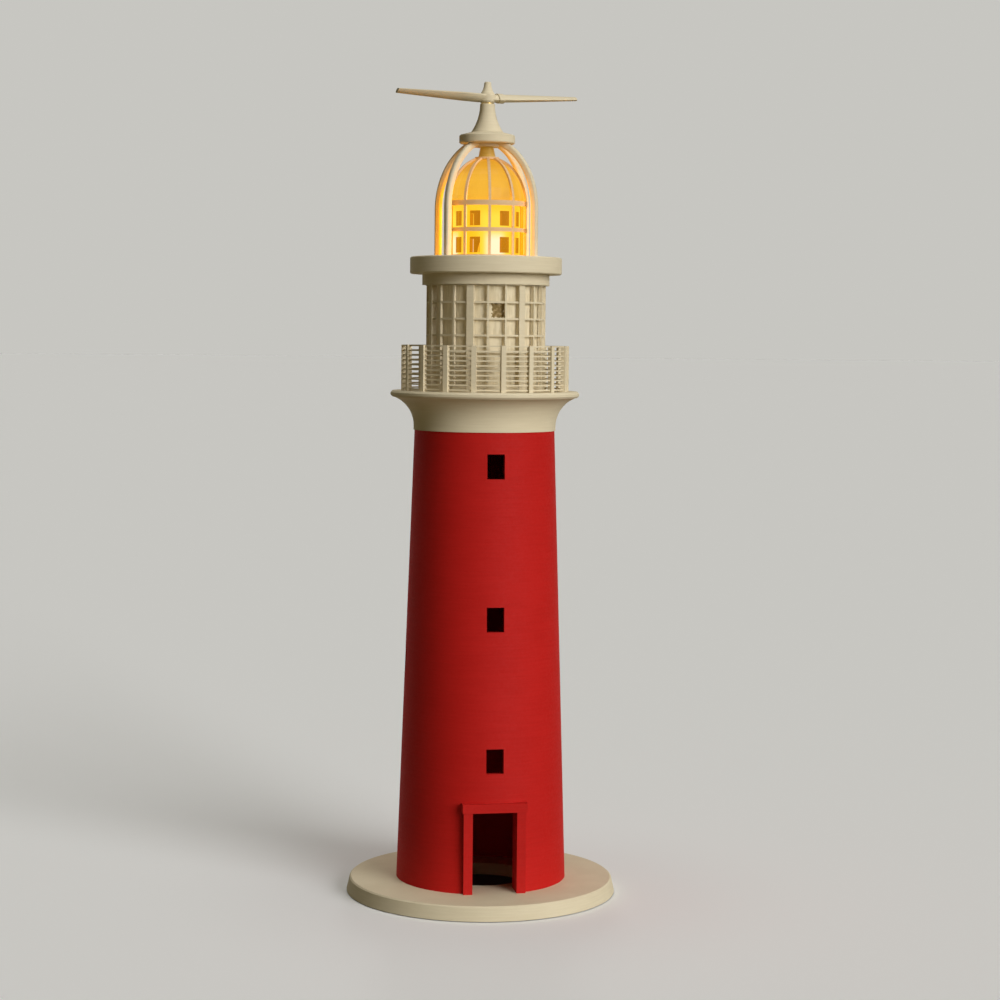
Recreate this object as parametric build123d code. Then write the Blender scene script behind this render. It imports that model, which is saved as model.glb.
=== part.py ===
from build123d import *
import os
from math import acos, cos, sin, sqrt

# Lighthouse table lamp in millimetres, +Z up, origin on the table below the tower's axis.
# The doorway and the row of front windows face -Y. Azimuths count from there towards +X.

# Fits shared by the pieces
slip = 0.15              # play of a piece that drops into its seat
running_play = 0.08      # radial play of the rotor on its axle
pin_play = 0.02          # radial play of a pin glued or pressed into its hole
thread_play = 0.05       # radial play drawn round a screw in its thread
switch_play = 0.25       # play of the switch knob in its slot

# Base plate on its felt pad
base_gap = 0.4           # shadow line under the plate's edge
base_thickness = 6.9
base_bottom_radius = 66.9
base_top_radius = 65.3
base_edge_bevel = 0.6
pad_thickness = 1.4
pad_margin = 10.9        # plate edge left bare round the pad
base_eye_radius = 24.0   # opening in the plate under the hollow tower
base_top = base_gap + base_thickness
pad_radius = base_bottom_radius - pad_margin

# Tower shell
tower_foot_radius = 42.15
tower_top_radius = 34.55
tower_height = 222.7
tower_wall = 3.0
tower_top = base_top + tower_height
tower_bore = tower_top_radius - tower_wall

# Base screws and the bosses that take them
screw_count = 4
screw_radius = 1.5
screw_head_radius = 2.9
screw_head_height = 1.7
screw_length = 14.0
screw_hole_radius = screw_radius + slip
boss_radius = 4.0
boss_inset = 2.8         # boss axis in from the shell's inner face
boss_tip_room = 1.0      # pilot hole past the screw's point
boss_roof = 2.5
boss_circle = tower_foot_radius - tower_wall - boss_inset
pilot_top = pad_thickness + screw_length + boss_tip_room
boss_top = pilot_top + boss_roof

# Doorway and its surround
door_width = 21.7
door_height = 39.7
jamb_width = 4.4
jamb_set_back = 0.6      # jamb face inside the tower's foot radius
lintel_height = 4.4
lintel_overhang = 0.6
lintel_stand = 0.7       # lintel face beyond the jambs
reveal_depth = 12.0
surround_width = door_width + 2 * jamb_width
jamb_face = tower_foot_radius - jamb_set_back
door_head = base_top + door_height
lintel_top = door_head + lintel_height
slot_head = door_head + lintel_height / 2

# Tower windows
window_width = 8.5
window_height = 12.0
lower_window_rise = 20.2     # lintel top to the middle of the lower window
upper_window_drop = 16.4     # tower top to the middle of the upper window
middle_window_drop = 2.6     # middle window below the halfway point of the other two
side_window_rise = 9.6       # side window above halfway from lower to middle window
side_window_azimuth = -95.0
lower_window = lintel_top + lower_window_rise
upper_window = tower_top - upper_window_drop
middle_window = (lower_window + upper_window) / 2 - middle_window_drop
side_window = (lower_window + middle_window) / 2 + side_window_rise

# Gallery corbel
corbel_height = 19.2
corbel_overhang = 0.5    # corbel's foot beyond the tower
plain_band = 2.0         # straight band below the cove
rim_radius = 46.5
rim_thickness = 3.0
rim_lip = 1.3            # rim beyond the end of the cove
rim_bevel = 0.9
spigot_depth = 8.0
spigot_wall = 2.5
corbel_foot_radius = tower_top_radius + corbel_overhang
gallery_floor = tower_top + corbel_height
spigot_radius = tower_bore - slip
cove_end = rim_radius - rim_lip

# Gallery railing
railing_radius = 41.3
railing_turn = 3.0       # a post's azimuth
railing_height = 22.4
post_count = 18
post_width = 2.3
rail_count = 10
rail_height = 0.65
rail_depth = 0.8
rail_foot_gap = 0.8      # lowest rail above the walkway
foot_groove = 1.0        # groove in the walkway for the railing's foot ring
post_circle = railing_radius - post_width / 2
rail_pitch = (railing_height - rail_foot_gap - rail_height) / (rail_count - 1)

# Watch room
room_radius = 29.5
room_height = 51.8
room_turn = 1.5          # middle of the front panel
panel_count = 7
panel_columns = 3
pane_rows = 6
room_post_width = 3.4
room_post_depth = 2.6
glazing_bar = 0.95
bar_set_back = 0.3       # bars behind the faces of the posts
bar_depth = 1.4
room_sill = 3.2
room_head = 0.55         # head ring below the collar
head_rebate = 1.5        # head ring up inside the collar
core_gap = 0.3           # glazing frame to the inner wall
core_wall = 2.0
core_boss_height = 3.0
room_top = gallery_floor + room_height
glazing_bore = room_radius - room_post_depth
core_radius = glazing_bore - core_gap
core_bore = core_radius - core_wall

# Lantern deck with the well for the tea light
collar_radius = 31.25
collar_height = 5.4
deck_radius = 37.3
deck_thickness = 8.2
deck_edge_bevel = 0.5
well_wall = 2.0
well_floor = 1.6
collar_top = room_top + collar_height
deck_top = collar_top + deck_thickness

# Tea light
tea_radius = 18.6
tea_height = 17.6
tea_wall = 1.2
tea_top_drop = 0.9       # cup rim below the deck
tea_dish = 2.0           # depth of the recessed top
tea_skirt = 1.0          # bottom plate up inside the cup
tea_plate = 1.4
flame_radius = 4.4
flame_wall = 1.0
flame_height = 14.6      # flame bulb above the cup's rim
flame_tip_radius = 1.2
flame_flange = 1.3
flame_flange_height = 1.2
flame_shoulder = 2.4     # straight foot of the bulb above the cup's rim
diode_radius = 2.5
diode_height = 8.6
diode_rim = 0.5
diode_rim_height = 1.0
board_radius = 9.0
board_thickness = 1.2
cell_radius = 10.0
cell_height = 3.2
cell_offset = 4.5        # cell's axis from the cup's axis, away from the switch
contact_width = 3.0
contact_thickness = 0.4
door_rim = 1.0           # battery door past the cell
door_thickness = 0.8
door_screw_radius = 0.7
door_screw_head = 1.1
door_screw_length = 2.6
door_ear_radius = 2.2
door_ear_reach = 12.6    # ear's screw from the cell's axis
door_boss_radius = 1.8
switch_circle = 13.2     # switch knob's distance from the cup's axis
switch_length = 3.0
switch_width = 2.2
switch_travel = 2.5
switch_flange = 0.9
switch_flange_height = 1.0
switch_reach = 0.7       # knob below the bottom plate
well_radius = tea_radius + slip
tea_top = deck_top - tea_top_drop
tea_bottom = tea_top - tea_height
plate_bottom = tea_bottom + tea_skirt
plate_top = plate_bottom + tea_plate
cup_bore = tea_radius - tea_wall
crown_top = tea_top - tea_dish
crown_bottom = crown_top - tea_wall
board_top = crown_bottom - flame_flange_height
board_bottom = board_top - board_thickness
cell_bottom = plate_bottom + door_thickness
cell_top = cell_bottom + cell_height
battery_door_radius = cell_radius + door_rim

# Lantern frame of ribs
frame_radius = 27.2
rib_width = 3.1
rib_depth = 3.4
rib_round = 1.1          # rounding of the ribs' long edges
front_rib = 56.5         # azimuths of the ribs, front bay left open
side_rib = 120.5
rib_azimuths = (front_rib, side_rib, 180.0, -side_rib, -front_rib)
frame_spring = 23.4      # springing of the ribs above the deck
frame_rise = 35.3        # full height of the rib ellipse
frame_height = 55.4      # deck to the underside of the cap
foot_ring_height = 2.0
top_ring_radius = 6.8
top_ring_height = 1.6
top_ring_bore = 5.4
spring_level = deck_top + frame_spring
cap_seat = deck_top + frame_height
frame_bore_radius = frame_radius - rib_depth
groove_floor = deck_top - foot_ring_height

# Lens cage, skin and drum
lens_turn = -5.0         # turn of the lens from the door's azimuth
cage_radius = 20.1
cage_bars = 10
cage_bar_width = 1.3
cage_bar_depth = 1.0
cage_lift = 0.2          # cage foot above the deck
cage_foot = 0.8
cage_spring = 25.9       # springing of the cage above the deck
cage_rise = 23.5
upper_band_height = 2.4
lower_band_height = 1.9
lower_band_rise = 13.05  # middle of the lower band above the deck
skin_gap = 0.2
dome_bands = 8           # rows of panes in the dome
panes_per_bay = 2        # panes between two bars of the cage
skin_wall = 0.6
drum_turn = -3.0         # turn of the drum from the door's azimuth
drum_radius = 16.4
drum_wall = 1.4
drum_top_gap = 1.0       # drum's top edge below the springing
drum_window_width = 5.5
drum_sill = 1.0
lower_pane_height = 7.6
upper_pane_height = 7.2
pane_row_gap = 5.4
pane_pair_azimuth = 45.0
pane_pair_spread = 18.3
hub_radius = 4.3
hub_tip_radius = 3.1
hub_flange_radius = 6.0
hub_flange_height = 2.8
cage_eye_wall = 1.5      # ring of the cage round the hub
cage_spring_level = deck_top + cage_spring
cage_foot_bottom = deck_top + cage_lift
lens_floor = cage_foot_bottom + cage_foot
cage_bore = cage_radius - cage_bar_depth
skin_radius = cage_bore - skin_gap
drum_bore = drum_radius - drum_wall
drum_top = cage_spring_level - drum_top_gap
hub_bore = hub_radius + slip
hub_top = cap_seat - top_ring_height
eye_top = cage_spring_level + cage_rise * sqrt(1 - (hub_bore / cage_radius) ** 2)

# Roof cap, spire and axle
cap_radius = 13.65
cap_edge = 4.2
cap_bevel = 0.5
cap_slope = 1.3          # rise of the cap's top to the foot of the spire
spire_foot_radius = 8.0
spire_top_radius = 3.6
spire_height = 13.8
axle_radius = 1.0
axle_grip = 5.0          # axle down inside the cage hub
washer_thickness = 0.5
washer_margin = 0.6
cap_top = cap_seat + cap_edge
spire_foot = cap_top + cap_slope
spire_top = spire_foot + spire_height
rotor_bottom = spire_top + washer_thickness

# Rotor
rotor_yaw = 10.5         # turn of the rotor from the X axis
rotor_boss_radius = 4.2
rotor_boss_height = 4.6
rotor_boss_bevel = 0.9
finial_foot_radius = 3.4
finial_tip_radius = 1.7
finial_tip_bevel = 0.4
finial_height = 5.6
axle_reach = 7.2         # axle above the washer
axle_end_gap = 0.3
blade_length = 46.3
blade_belly = 13.0       # widest place of the blade from the axis
blade_root_chord = 8.4
blade_belly_chord = 9.8
blade_tip_chord = 5.8
blade_root_thickness = 4.0
blade_belly_thickness = 3.6
blade_tip_thickness = 1.9
blade_pitch = 14.0
blade_rise = 1.7         # tip above the root
peg_radius = 1.1
peg_end_gap = 0.25       # blade peg to the axle's bore
blade_start = 2.0        # blade's first section, inside the boss
sleeve_start = 4.9       # sleeve's ends, from the axis
sleeve_end = 7.7
sleeve_wall = 0.35
blade_level = rotor_bottom + rotor_boss_height / 2
finial_foot = rotor_bottom + rotor_boss_height


def tube(outer, inner, bottom, top):
    """Round tube standing between two levels."""
    height = top - bottom
    ring = Circle(outer) - Circle(inner)
    return Pos(0, 0, bottom) * extrude(ring, height)


def disc(radius, bottom, top):
    """Round solid standing between two levels."""
    return Pos(0, 0, bottom) * extrude(Circle(radius), top - bottom)


def block(x_size, y_size, bottom, top):
    """Rectangular solid on the axis between two levels."""
    return Pos(0, 0, bottom) * extrude(Rectangle(x_size, y_size), top - bottom)


def cone(foot_radius, top_radius, bottom, height):
    """Cone frustum on the axis from a level upwards."""
    return Pos(0, 0, bottom + height / 2) * Cone(foot_radius, top_radius, height)


def turned(*lines):
    """Solid of revolution from a closed outline in the XZ plane."""
    return revolve(Plane.XZ * make_face(lines), Axis.Z)


def at_azimuth(piece, azimuth):
    """Turns a piece drawn along +X to an azimuth counted from the door."""
    return Rot(0, 0, azimuth - 90) * piece


def tower_radius(level):
    """Outer radius of the tower shell at a level."""
    share = (level - base_top) / tower_height
    return tower_foot_radius + share * (tower_top_radius - tower_foot_radius)


def screw_places():
    """Base screw places, midway between the doorway and the sides."""
    return PolarLocations(boss_circle, screw_count, start_angle=180 / screw_count)


def foot_pad():
    return disc(pad_radius, 0, pad_thickness)


def base_plate():
    plate = turned(
        Line((0, base_gap), (base_bottom_radius, base_gap)),
        Line((base_bottom_radius, base_gap), (base_top_radius, base_top)),
        Line((base_top_radius, base_top), (0, base_top)),
        Line((0, base_top), (0, base_gap)),
    )
    plate = chamfer(plate.edges().group_by(Axis.Z)[-1], base_edge_bevel)
    plate -= disc(pad_radius + slip, base_gap, pad_thickness)
    plate -= disc(base_eye_radius, pad_thickness, base_top)
    hole = disc(screw_hole_radius, pad_thickness, base_top)
    sink = cone(screw_head_radius + slip, screw_hole_radius, pad_thickness, screw_head_height)
    return plate - [place * (hole + sink) for place in screw_places()]


def base_screws():
    head = cone(screw_head_radius, screw_radius, pad_thickness, screw_head_height)
    shank = disc(screw_radius, pad_thickness + screw_head_height, pad_thickness + screw_length)
    return Compound([place * (head + shank) for place in screw_places()])


def window_cutter(level, azimuth):
    """Square-edged hole through one wall of the tower."""
    hole = Box(4 * tower_wall, window_width, window_height)
    return at_azimuth(Pos(tower_radius(level), 0, level) * hole, azimuth)


def tower_shell():
    foot_bore = tower_foot_radius - tower_wall
    shell = turned(
        Line((foot_bore, base_top), (tower_foot_radius, base_top)),
        Line((tower_foot_radius, base_top), (tower_top_radius, tower_top)),
        Line((tower_top_radius, tower_top), (tower_bore, tower_top)),
        Line((tower_bore, tower_top), (foot_bore, base_top)),
    )
    inside = cone(tower_foot_radius, tower_top_radius, base_top, tower_height)
    boss = disc(boss_radius, base_top, boss_top)
    pilot = disc(screw_radius + thread_play, base_top, pilot_top)
    shell += [inside & (place * boss) for place in screw_places()]
    shell -= [place * pilot for place in screw_places()]
    slot = block(surround_width + 2 * slip, 2 * reveal_depth, base_top, slot_head)
    shell -= Pos(0, -jamb_face, 0) * slot
    for level in (lower_window, middle_window, upper_window):
        shell -= window_cutter(level, 0)
    return shell - window_cutter(side_window, side_window_azimuth)


def door_surround():
    frame = Pos(0, reveal_depth / 2, 0) * block(surround_width, reveal_depth, base_top, slot_head - slip)
    lintel_depth = lintel_stand + reveal_depth
    lintel = block(surround_width + 2 * lintel_overhang, lintel_depth, door_head, lintel_top)
    lintel = Pos(0, lintel_depth / 2 - lintel_stand, 0) * lintel
    lintel = Pos(0, -jamb_face, 0) * lintel
    lintel -= cone(tower_foot_radius + slip, tower_top_radius + slip, base_top, tower_height)
    opening = block(door_width, 4 * reveal_depth, base_top, door_head)
    return Pos(0, -jamb_face, 0) * frame + lintel - Pos(0, -jamb_face, 0) * opening


def gallery_corbel():
    bottom = tower_top - spigot_depth
    cove_foot = tower_top + plain_band
    rim_bottom = gallery_floor - rim_thickness
    hollow = spigot_radius - spigot_wall
    corbel = turned(
        Line((hollow, bottom), (spigot_radius, bottom)),
        Line((spigot_radius, bottom), (spigot_radius, tower_top)),
        Line((spigot_radius, tower_top), (corbel_foot_radius, tower_top)),
        Line((corbel_foot_radius, tower_top), (corbel_foot_radius, cove_foot)),
        TangentArc((corbel_foot_radius, cove_foot), (cove_end, rim_bottom), tangent=(0, 1)),
        Line((cove_end, rim_bottom), (rim_radius - rim_bevel, rim_bottom)),
        Line((rim_radius - rim_bevel, rim_bottom), (rim_radius, rim_bottom + rim_bevel)),
        Line((rim_radius, rim_bottom + rim_bevel), (rim_radius, gallery_floor - rim_bevel)),
        Line((rim_radius, gallery_floor - rim_bevel), (rim_radius - rim_bevel, gallery_floor)),
        Line((rim_radius - rim_bevel, gallery_floor), (0, gallery_floor)),
        Line((0, gallery_floor), (0, rim_bottom)),
        Line((0, rim_bottom), (hollow, rim_bottom)),
        Line((hollow, rim_bottom), (hollow, bottom)),
    )
    groove_bore = railing_radius - post_width - slip
    corbel -= tube(railing_radius + slip, groove_bore, gallery_floor - foot_groove, gallery_floor)
    locator = core_bore - slip
    return corbel + tube(locator, locator - core_wall, gallery_floor, gallery_floor + core_boss_height)


def gallery_railing():
    foot = gallery_floor - foot_groove
    railing = tube(railing_radius, railing_radius - post_width, foot, gallery_floor)
    post = block(post_width, post_width, foot, gallery_floor + railing_height)
    railing += [place * post for place in PolarLocations(post_circle, post_count)]
    outer = RegularPolygon(post_circle + rail_depth / 2, post_count)
    inner = RegularPolygon(post_circle - rail_depth / 2, post_count)
    rail = extrude(outer - inner, rail_height)
    first = gallery_floor + rail_foot_gap
    railing += [Pos(0, 0, first + step * rail_pitch) * rail for step in range(rail_count)]
    return at_azimuth(railing, railing_turn)


def watch_room_core():
    return tube(core_radius, core_bore, gallery_floor, room_top)


def watch_room_glazing():
    column_count = panel_count * panel_columns
    column_pitch = 360 / column_count
    head_top = room_top + head_rebate
    ring = RegularPolygon(room_radius, column_count) - Circle(glazing_bore)
    frame = Pos(0, 0, gallery_floor) * extrude(ring, room_sill)
    frame += Pos(0, 0, room_top - room_head) * extrude(ring, room_head + head_rebate)
    bar_radius = room_radius - bar_set_back
    pane_foot = gallery_floor + room_sill
    row_pitch = (room_top - room_head - pane_foot) / pane_rows
    outer = RegularPolygon(bar_radius, column_count)
    inner = RegularPolygon(bar_radius - bar_depth, column_count)
    crossbar = extrude(outer - inner, glazing_bar / 2, both=True)
    frame += [Pos(0, 0, pane_foot + row * row_pitch) * crossbar for row in range(1, pane_rows)]
    post = Pos(room_radius - room_post_depth / 2, 0, 0) * block(
        room_post_depth, room_post_width, gallery_floor, head_top
    )
    mullion = Pos(bar_radius - bar_depth / 2, 0, 0) * block(bar_depth, glazing_bar, gallery_floor, room_top)
    for column in range(column_count):
        upright = mullion if column % panel_columns else post
        frame += Rot(0, 0, column * column_pitch) * upright
    return at_azimuth(frame, 180 / panel_count + room_turn)


def lantern_deck():
    deck = disc(collar_radius, room_top, collar_top)
    plate = disc(deck_radius, collar_top, deck_top)
    deck += chamfer(plate.edges().filter_by(GeomType.CIRCLE), deck_edge_bevel)
    deck += disc(well_radius + well_wall, tea_bottom - well_floor, room_top)
    deck -= disc(well_radius, tea_bottom, deck_top)
    deck -= tube(frame_radius + slip, frame_bore_radius - slip, groove_floor, deck_top)
    return deck - tube(room_radius + slip, glazing_bore - slip, room_top, room_top + head_rebate)


def tealight_cup():
    neck = flame_radius + slip
    return turned(
        Line((cup_bore, tea_bottom), (tea_radius, tea_bottom)),
        Line((tea_radius, tea_bottom), (tea_radius, tea_top)),
        Line((tea_radius, tea_top), (cup_bore, tea_top)),
        Line((cup_bore, tea_top), (cup_bore, crown_top)),
        Line((cup_bore, crown_top), (neck, crown_top)),
        Line((neck, crown_top), (neck, crown_bottom)),
        Line((neck, crown_bottom), (cup_bore, crown_bottom)),
        Line((cup_bore, crown_bottom), (cup_bore, tea_bottom)),
    )


def tealight_flame():
    foot = crown_bottom - flame_flange_height
    shoulder = tea_top + flame_shoulder
    tip = tea_top + flame_height
    flange = flame_radius + flame_flange
    bore = flame_radius - flame_wall
    inner_tip = tip - 2 * flame_wall
    return turned(
        Line((bore, foot), (flange, foot)),
        Line((flange, foot), (flange, crown_bottom)),
        Line((flange, crown_bottom), (flame_radius, crown_bottom)),
        Line((flame_radius, crown_bottom), (flame_radius, shoulder)),
        Line((flame_radius, shoulder), (flame_tip_radius, tip)),
        Line((flame_tip_radius, tip), (0, tip)),
        Line((0, tip), (0, inner_tip)),
        Line((0, inner_tip), (bore, shoulder)),
        Line((bore, shoulder), (bore, foot)),
    )


def tealight_diode():
    rim = diode_radius + diode_rim
    rim_top = board_top + diode_rim_height
    dome = board_top + diode_height - diode_radius
    return turned(
        Line((0, board_top), (rim, board_top)),
        Line((rim, board_top), (rim, rim_top)),
        Line((rim, rim_top), (diode_radius, rim_top)),
        Line((diode_radius, rim_top), (diode_radius, dome)),
        CenterArc((0, dome), diode_radius, 0, 90),
        Line((0, dome + diode_radius), (0, board_top)),
    )


def tealight_board():
    return disc(board_radius, board_bottom, board_top)


def tealight_cell():
    return Pos(-cell_offset, 0, 0) * disc(cell_radius, cell_bottom, cell_top)


def cell_contacts():
    foot = block(cell_radius, contact_width, cell_top, cell_top + contact_thickness)
    leg = block(contact_thickness, contact_width, cell_top, board_bottom)
    top_contact = Pos(-cell_offset, 0, 0) * (foot + leg)
    beside = cell_radius - cell_offset + contact_thickness / 2 + thread_play
    side_contact = Pos(beside, 0, 0) * block(contact_thickness, contact_width, plate_top, board_bottom)
    return Compound([top_contact, side_contact])


def door_outline(play):
    """Round battery door with one screw ear, grown by a play."""
    ear = Pos(0, -door_ear_reach) * Circle(door_ear_radius + play)
    neck = Pos(0, -door_ear_reach / 2) * Rectangle(2 * (door_ear_radius + play), door_ear_reach)
    return Pos(-cell_offset, 0) * (Circle(battery_door_radius + play) + ear + neck)


def tealight_base():
    plate = disc(cup_bore - slip, plate_bottom, plate_top)
    screw_place = Pos(-cell_offset, -door_ear_reach, 0)
    screw_top = plate_bottom + door_screw_length
    plate += screw_place * disc(door_boss_radius, plate_top, screw_top + tea_plate)
    plate -= Pos(0, 0, plate_bottom) * extrude(door_outline(slip), door_thickness)
    plate -= Pos(-cell_offset, 0, 0) * disc(cell_radius + slip, plate_bottom, plate_top)
    plate -= screw_place * disc(door_screw_radius + thread_play, plate_bottom, screw_top + thread_play)
    slot = block(
        switch_width + 2 * switch_play, switch_length + switch_travel + 2 * switch_play, plate_bottom, plate_top
    )
    return plate - Pos(switch_circle, 0, 0) * slot


def battery_door():
    door = Pos(0, 0, plate_bottom) * extrude(door_outline(0), door_thickness)
    head = cone(door_screw_head + slip, door_screw_radius + slip, plate_bottom, door_thickness)
    return door - Pos(-cell_offset, -door_ear_reach, 0) * head


def door_screw():
    head = cone(door_screw_head, door_screw_radius, plate_bottom, door_thickness)
    shank = disc(door_screw_radius, plate_bottom + door_thickness, plate_bottom + door_screw_length)
    return Pos(-cell_offset, -door_ear_reach, 0) * (head + shank)


def tealight_switch():
    knob = block(switch_width, switch_length, plate_bottom - switch_reach, plate_top)
    flange = block(
        switch_width + 2 * switch_flange,
        switch_length + 2 * switch_flange,
        plate_top,
        plate_top + switch_flange_height,
    )
    return Pos(switch_circle, -switch_travel / 2, 0) * (knob + flange)


def arch(radius, bore, rise, depth, inner_end, foot, spring, crown):
    """Upright with an elliptical head, as a face in the XZ plane from its foot to its crown."""
    reach = radius - inner_end
    head = Ellipse(radius, rise) - Ellipse(bore, rise - depth)
    head &= Pos(inner_end + reach / 2, (crown - spring) / 2) * Rectangle(reach, crown - spring)
    leg = Pos((radius + bore) / 2, (foot - spring) / 2) * Rectangle(radius - bore, spring - foot)
    return Plane.XZ * (Pos(0, spring) * (head + leg))


def lantern_frame():
    crown = spring_level + frame_rise
    face = arch(
        frame_radius, frame_bore_radius, frame_rise, rib_depth, top_ring_bore, groove_floor, spring_level, crown
    )
    rib = extrude(face, rib_width / 2, both=True)
    edges = rib.faces().filter_by(Axis.Y).edges()
    edges = edges.filter_by_position(Axis.Z, groove_floor, crown, inclusive=(False, True))
    edges = edges.filter_by_position(Axis.X, top_ring_bore, frame_radius, inclusive=(False, True))
    rib = fillet(edges, rib_round) - disc(frame_radius, cap_seat, crown)
    frame = tube(frame_radius, frame_bore_radius, groove_floor, deck_top)
    frame += tube(top_ring_radius, top_ring_bore, cap_seat - top_ring_height, cap_seat)
    return frame + [at_azimuth(rib, azimuth) for azimuth in rib_azimuths]


def lens_cage():
    face = arch(
        cage_radius, cage_bore, cage_rise, cage_bar_depth, hub_bore, cage_foot_bottom, cage_spring_level, eye_top
    )
    bar = extrude(face, cage_bar_width / 2, both=True)
    cage = tube(cage_radius, drum_bore, cage_foot_bottom, lens_floor)
    eye_bottom = cage_spring_level + (cage_rise - cage_bar_depth) * sqrt(1 - (hub_bore / cage_bore) ** 2)
    cage += tube(hub_bore + cage_eye_wall, hub_bore, eye_bottom, eye_top)
    half_band = upper_band_height / 2
    cage += tube(cage_radius, cage_bore, cage_spring_level - half_band, cage_spring_level + half_band)
    lower_band = deck_top + lower_band_rise
    half_band = lower_band_height / 2
    cage += tube(cage_radius, cage_bore, lower_band - half_band, lower_band + half_band)
    bar_pitch = 360 / cage_bars
    return cage + [at_azimuth(bar, lens_turn + step * bar_pitch) for step in range(cage_bars)]


def dome_shell(radius, rise):
    """Solid of flat panes: upright sides and an oval dome, two panes to each bay of the cage."""
    end = acos(hub_bore / radius)
    angles = [end * step / dome_bands for step in range(dome_bands + 1)]
    sections = [Pos(0, 0, lens_floor) * pane_outline(radius)]
    for angle in angles:
        sections.append(Pos(0, 0, cage_spring_level + rise * sin(angle)) * pane_outline(radius * cos(angle)))
    return loft(sections, ruled=True)


def pane_outline(radius):
    """Ring of pane edges with corners behind the cage's bars."""
    return RegularPolygon(radius, panes_per_bay * cage_bars, rotation=lens_turn - 90)


def lens_skin():
    rise = cage_rise - cage_bar_depth - skin_gap
    skin = dome_shell(skin_radius, rise) - dome_shell(skin_radius - skin_wall, rise - skin_wall)
    return skin - disc(hub_bore, cage_spring_level, cage_spring_level + rise)


def lens_drum():
    drum = tube(drum_radius, drum_bore, lens_floor, drum_top)
    lower_sill = lens_floor + drum_sill
    upper_sill = lower_sill + lower_pane_height + pane_row_gap
    window_middle = drum_radius - drum_wall / 2
    for sill, height in ((lower_sill, lower_pane_height), (upper_sill, upper_pane_height)):
        pane = Pos(window_middle, 0, 0) * block(3 * drum_wall, drum_window_width, sill, sill + height)
        for quarter in range(4):
            middle = drum_turn + pane_pair_azimuth + 90 * quarter
            drum -= at_azimuth(pane, middle - pane_pair_spread)
            drum -= at_azimuth(pane, middle + pane_pair_spread)
    return drum


def cage_hub():
    skin_rise = cage_rise - cage_bar_depth - skin_gap - skin_wall
    skin_bore = skin_radius - skin_wall
    skin_underside = cage_spring_level + skin_rise * sqrt(1 - (hub_flange_radius / skin_bore) ** 2)
    flange_top = skin_underside - skin_gap
    hub = disc(hub_flange_radius, flange_top - hub_flange_height, flange_top)
    hub += disc(hub_radius, flange_top, eye_top)
    hub += cone(hub_radius, hub_tip_radius, eye_top, hub_top - eye_top)
    return hub - disc(axle_radius + pin_play, hub_top - axle_grip, hub_top)


def roof_cap():
    cap = turned(
        Line((0, hub_top), (top_ring_bore - slip, hub_top)),
        Line((top_ring_bore - slip, hub_top), (top_ring_bore - slip, cap_seat)),
        Line((top_ring_bore - slip, cap_seat), (cap_radius - cap_bevel, cap_seat)),
        Line((cap_radius - cap_bevel, cap_seat), (cap_radius, cap_seat + cap_bevel)),
        Line((cap_radius, cap_seat + cap_bevel), (cap_radius, cap_top - cap_bevel)),
        Line((cap_radius, cap_top - cap_bevel), (cap_radius - cap_bevel, cap_top)),
        Line((cap_radius - cap_bevel, cap_top), (spire_foot_radius, spire_foot)),
        TangentArc((spire_top_radius, spire_top), (spire_foot_radius, spire_foot), tangent=(0, -1)),
        Line((spire_top_radius, spire_top), (0, spire_top)),
        Line((0, spire_top), (0, hub_top)),
    )
    return cap - disc(axle_radius + pin_play, hub_top, spire_top)


def rotor_axle():
    return disc(axle_radius, hub_top - axle_grip, rotor_bottom + axle_reach)


def rotor_washer():
    return tube(spire_top_radius - washer_margin, axle_radius + slip, spire_top, rotor_bottom)


def rotor_hub():
    boss = disc(rotor_boss_radius, rotor_bottom, finial_foot)
    boss = chamfer(boss.edges().filter_by(GeomType.CIRCLE), rotor_boss_bevel)
    finial_top = finial_foot + finial_height
    neck_top = finial_top - finial_tip_bevel
    finial = turned(
        Line((0, finial_foot), (finial_foot_radius, finial_foot)),
        TangentArc((finial_tip_radius, neck_top), (finial_foot_radius, finial_foot), tangent=(0, -1)),
        Line((finial_tip_radius, neck_top), (finial_tip_radius - finial_tip_bevel, finial_top)),
        Line((finial_tip_radius - finial_tip_bevel, finial_top), (0, finial_top)),
        Line((0, finial_top), (0, finial_foot)),
    )
    hub = boss + finial
    hub -= disc(axle_radius + running_play, rotor_bottom, rotor_bottom + axle_reach + axle_end_gap)
    socket = Pos(0, 0, blade_level) * Rot(0, 90, 0) * Cylinder(peg_radius + pin_play, 2 * rotor_boss_radius)
    return Rot(0, 0, rotor_yaw) * (hub - socket)


def blade_section(reach, chord, thickness, grow=0.0):
    """Pitched oval section of a blade along +X, at a distance from the axis."""
    rise = blade_rise * (reach - blade_start) / (blade_length - blade_start)
    across = Plane(origin=(reach, 0, blade_level + rise), x_dir=(0, 1, 0), z_dir=(1, 0, 0))
    half_chord = chord / 2 + grow
    half_height = thickness / 2 + grow
    upper = ThreePointArc((-half_chord, 0), (0, half_height), (half_chord, 0))
    lower = ThreePointArc((half_chord, 0), (0, -half_height), (-half_chord, 0))
    oval = make_face([upper, lower])
    return across * Rot(0, 0, blade_pitch) * oval


def blade():
    """Blade along +X, hollowed to the boss and pegged into it."""
    sections = [
        blade_section(blade_start, blade_root_chord, blade_root_thickness),
        blade_section(blade_belly, blade_belly_chord, blade_belly_thickness),
        blade_section(blade_length, blade_tip_chord, blade_tip_thickness),
    ]
    vane = loft(sections, ruled=True) - disc(rotor_boss_radius + pin_play, rotor_bottom, finial_foot)
    peg_start = axle_radius + running_play + peg_end_gap
    peg_end = rotor_boss_radius + peg_radius
    middle = (peg_start + peg_end) / 2
    return vane + Pos(middle, 0, blade_level) * Rot(0, 90, 0) * Cylinder(peg_radius, peg_end - peg_start)


def rotor_blade_right():
    return Rot(0, 0, rotor_yaw) * blade()


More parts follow.
